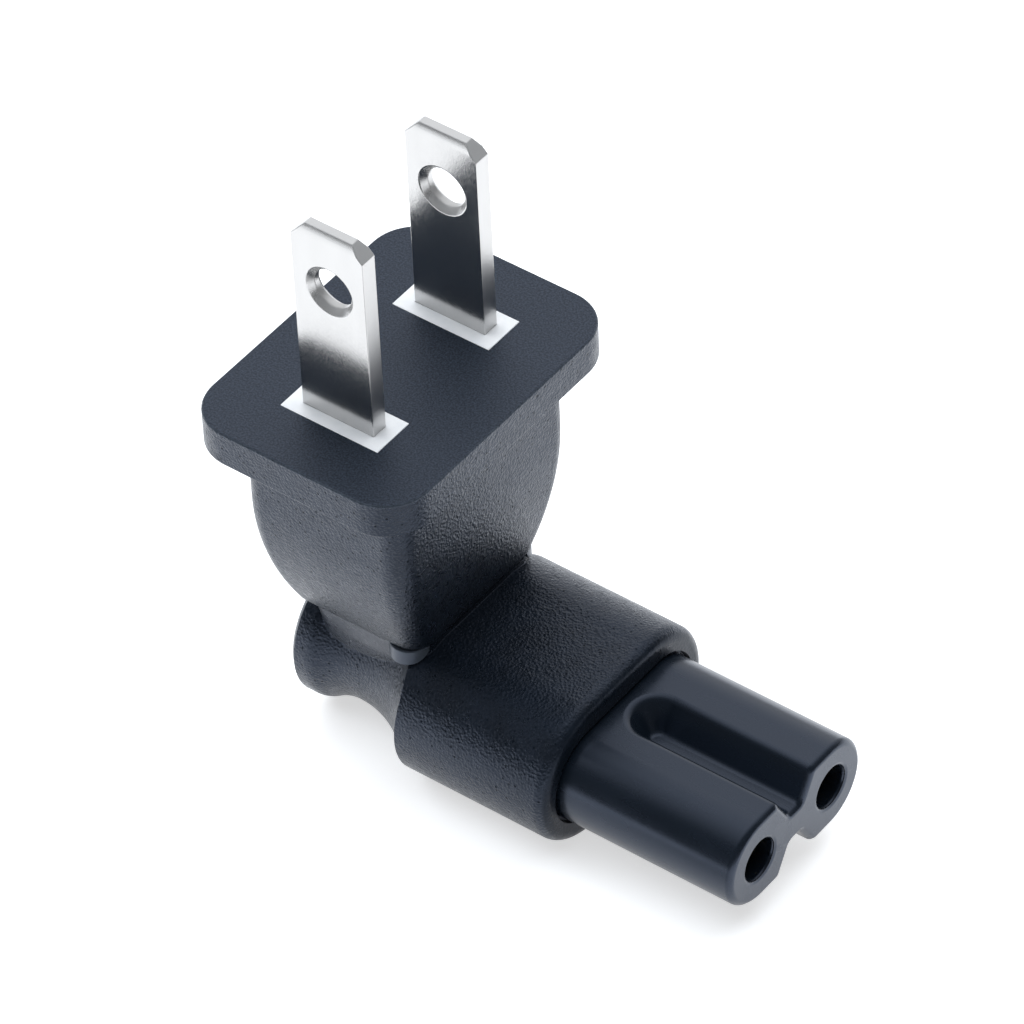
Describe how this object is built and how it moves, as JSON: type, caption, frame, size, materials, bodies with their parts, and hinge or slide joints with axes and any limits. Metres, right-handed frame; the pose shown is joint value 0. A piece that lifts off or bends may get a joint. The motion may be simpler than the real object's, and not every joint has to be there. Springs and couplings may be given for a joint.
{
  "type": "type a plug",
  "caption": "Right-angle adapter: flat parallel blades on a flanged black head, turned into a figure-8 connector nose with two contact holes.",
  "frame": {"origin": "middle of the plug face, between the two blades", "axes": "+Z along the blades, out of the plug face; +X along the connector, out of its nose; the blades' broad faces look along Y"},
  "size_m": [0.0429, 0.0256, 0.0493],
  "materials": {
    "black_pvc": "black PVC overmould with a fine spark-eroded texture",
    "nose_plastic": "smooth semi-gloss black moulding",
    "white_insert": "smooth white insert moulding",
    "blade_metal": "bright nickel plating over stamped brass",
    "contact_metal": "plain stamped brass",
    "copper": "bare copper conductor",
    "wire_jacket": "black wire insulation"
  },
  "bodies": {
    "root": {"overmould": "black_pvc", "connector_nose": "nose_plastic", "blade_carrier": "white_insert", "left_blade": "blade_metal", "right_blade": "blade_metal", "left_contact": "contact_metal", "right_contact": "contact_metal", "left_wire_core": "copper", "right_wire_core": "copper", "left_wire_insulation": "wire_jacket", "right_wire_insulation": "wire_jacket"}
  },
  "joints": []
}
